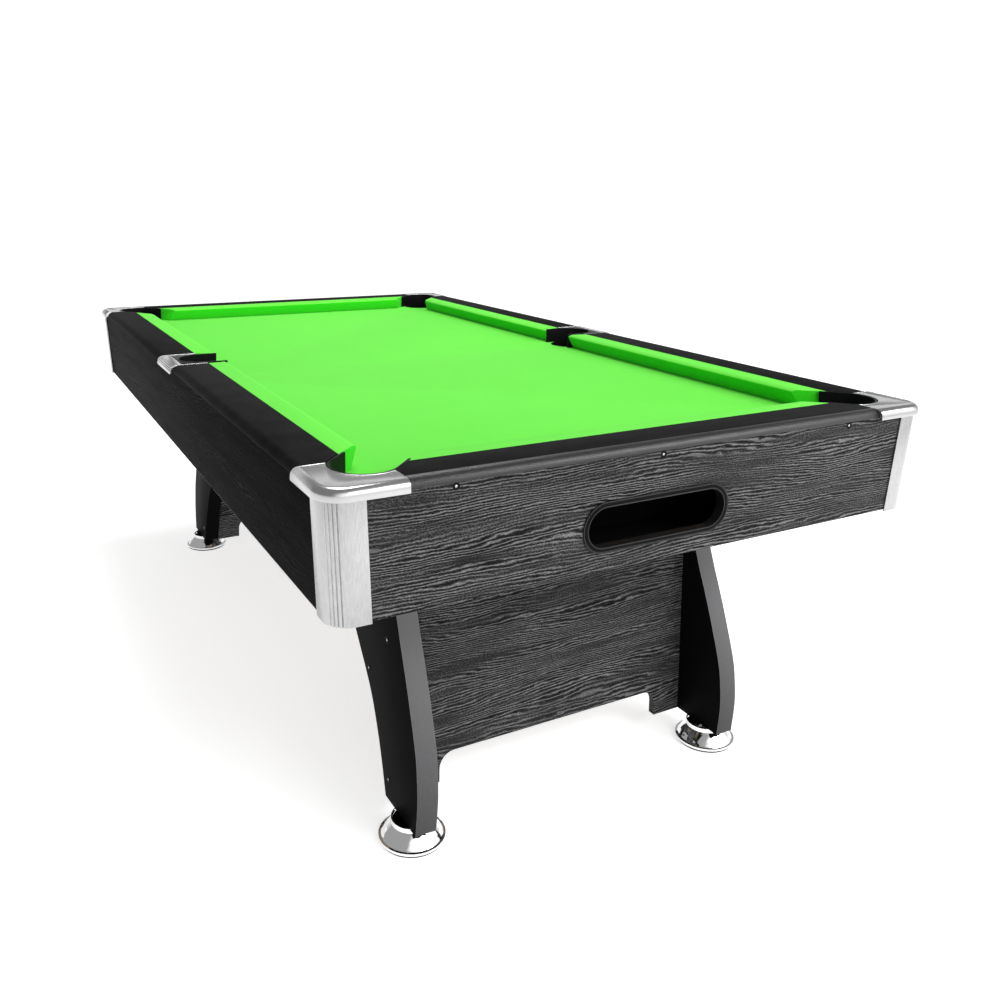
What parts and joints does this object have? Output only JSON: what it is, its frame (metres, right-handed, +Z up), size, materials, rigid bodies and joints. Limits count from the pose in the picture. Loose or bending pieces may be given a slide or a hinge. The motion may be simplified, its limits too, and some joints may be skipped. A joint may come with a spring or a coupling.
{
  "type": "pool table",
  "caption": "Free-standing pool table with cloth bed, cushioned rails, corner and side pockets, ball return and bowed legs on screw levelling feet.",
  "frame": {"origin": "on the floor under the middle of the table, at the bottom centre of its bounding box", "axes": "+X across the table to the right, +Y along its length away from the ball return end, +Z up"},
  "size_m": [1.21, 2.12, 0.75],
  "materials": {
    "black_vinyl": "fine-grained black vinyl wrap, satin",
    "green_cloth": "bright green woven speed cloth, matt with a fine nap",
    "fibreboard": "raw medium-density fibreboard",
    "silver_casting": "satin silver, cast caps and ribbed posts",
    "black_wood_grain": "black laminate with an embossed grey wood grain",
    "black_laminate": "plain black laminate with grey edging",
    "chrome": "bright chrome plate",
    "zinc_steel": "zinc-plated threaded steel",
    "black_plastic": "moulded black plastic, satin"
  },
  "bodies": {
    "root": {"ball_gutter_left": "black_plastic", "ball_gutter_right": "black_plastic", "ball_return_bezel": "black_plastic", "ball_return_tray": "black_plastic", "bed_board": "fibreboard", "bed_cloth": "green_cloth", "corner_cap_back_left": "silver_casting", "corner_cap_back_right": "silver_casting", "corner_cap_front_left": "silver_casting", "corner_cap_front_right": "silver_casting", "corner_post_back_left": "silver_casting", "corner_post_back_right": "silver_casting", "corner_post_front_left": "silver_casting", "corner_post_front_right": "silver_casting", "cross_beam_back": "fibreboard", "cross_beam_front": "fibreboard", "end_apron_back": "black_wood_grain", "end_apron_front": "black_wood_grain", "end_cushion_back": "green_cloth", "end_cushion_front": "green_cloth", "end_rail_back": "black_vinyl", "end_rail_front": "black_vinyl", "leg_back_left": "black_laminate", "leg_back_right": "black_laminate", "leg_front_left": "black_laminate", "leg_front_right": "black_laminate", "leg_panel_back": "black_wood_grain", "leg_panel_front": "black_wood_grain", "pocket_liner_corner_back_left": "black_plastic", "pocket_liner_corner_back_right": "black_plastic", "pocket_liner_corner_front_left": "black_plastic", "pocket_liner_corner_front_right": "black_plastic", "pocket_liner_side_left": "black_plastic", "pocket_liner_side_right": "black_plastic", "side_apron_left": "black_wood_grain", "side_apron_right": "black_wood_grain", "side_casting_left": "silver_casting", "side_casting_right": "silver_casting", "side_cushion_back_left": "green_cloth", "side_cushion_back_right": "green_cloth", "side_cushion_front_left": "green_cloth", "side_cushion_front_right": "green_cloth", "side_rail_back_left": "black_vinyl", "side_rail_back_right": "black_vinyl", "side_rail_front_left": "black_vinyl", "side_rail_front_right": "black_vinyl", "spine_beam": "fibreboard"},
    "pad_front_left": {"foot_pad_front_left": "black_plastic"},
    "foot_front_left": {"foot_dome_front_left": "chrome", "foot_stud_front_left": "zinc_steel"},
    "pad_front_right": {"foot_pad_front_right": "black_plastic"},
    "foot_front_right": {"foot_dome_front_right": "chrome", "foot_stud_front_right": "zinc_steel"},
    "pad_back_left": {"foot_pad_back_left": "black_plastic"},
    "foot_back_left": {"foot_dome_back_left": "chrome", "foot_stud_back_left": "zinc_steel"},
    "pad_back_right": {"foot_pad_back_right": "black_plastic"},
    "foot_back_right": {"foot_dome_back_right": "chrome", "foot_stud_back_right": "zinc_steel"}
  },
  "joints": [
    {"name": "foot_travel_front_left", "type": "slide", "parent": "root", "child": "pad_front_left", "axis": [0, 0, -1], "range_m": [0, 0.0201]},
    {"name": "foot_turn_front_left", "type": "hinge", "parent": "pad_front_left", "child": "foot_front_left", "pos_m": [-0.34, -0.78, 0], "axis": [0, 0, -1], "range_deg": [0, 4800]},
    {"name": "foot_travel_front_right", "type": "slide", "parent": "root", "child": "pad_front_right", "axis": [0, 0, -1], "range_m": [0, 0.0201]},
    {"name": "foot_turn_front_right", "type": "hinge", "parent": "pad_front_right", "child": "foot_front_right", "pos_m": [0.34, -0.78, 0], "axis": [0, 0, -1], "range_deg": [0, 4800]},
    {"name": "foot_travel_back_left", "type": "slide", "parent": "root", "child": "pad_back_left", "axis": [0, 0, -1], "range_m": [0, 0.0201]},
    {"name": "foot_turn_back_left", "type": "hinge", "parent": "pad_back_left", "child": "foot_back_left", "pos_m": [-0.34, 0.78, 0], "axis": [0, 0, -1], "range_deg": [0, 4800]},
    {"name": "foot_travel_back_right", "type": "slide", "parent": "root", "child": "pad_back_right", "axis": [0, 0, -1], "range_m": [0, 0.0201]},
    {"name": "foot_turn_back_right", "type": "hinge", "parent": "pad_back_right", "child": "foot_back_right", "pos_m": [0.34, 0.78, 0], "axis": [0, 0, -1], "range_deg": [0, 4800]}
  ],
  "couplings": [
    {"joint": "foot_travel_front_left", "follows": "foot_turn_front_left", "m_per_rad": 0.00023873},
    {"joint": "foot_travel_front_right", "follows": "foot_turn_front_right", "m_per_rad": 0.00023873},
    {"joint": "foot_travel_back_left", "follows": "foot_turn_back_left", "m_per_rad": 0.00023873},
    {"joint": "foot_travel_back_right", "follows": "foot_turn_back_right", "m_per_rad": 0.00023873}
  ]
}
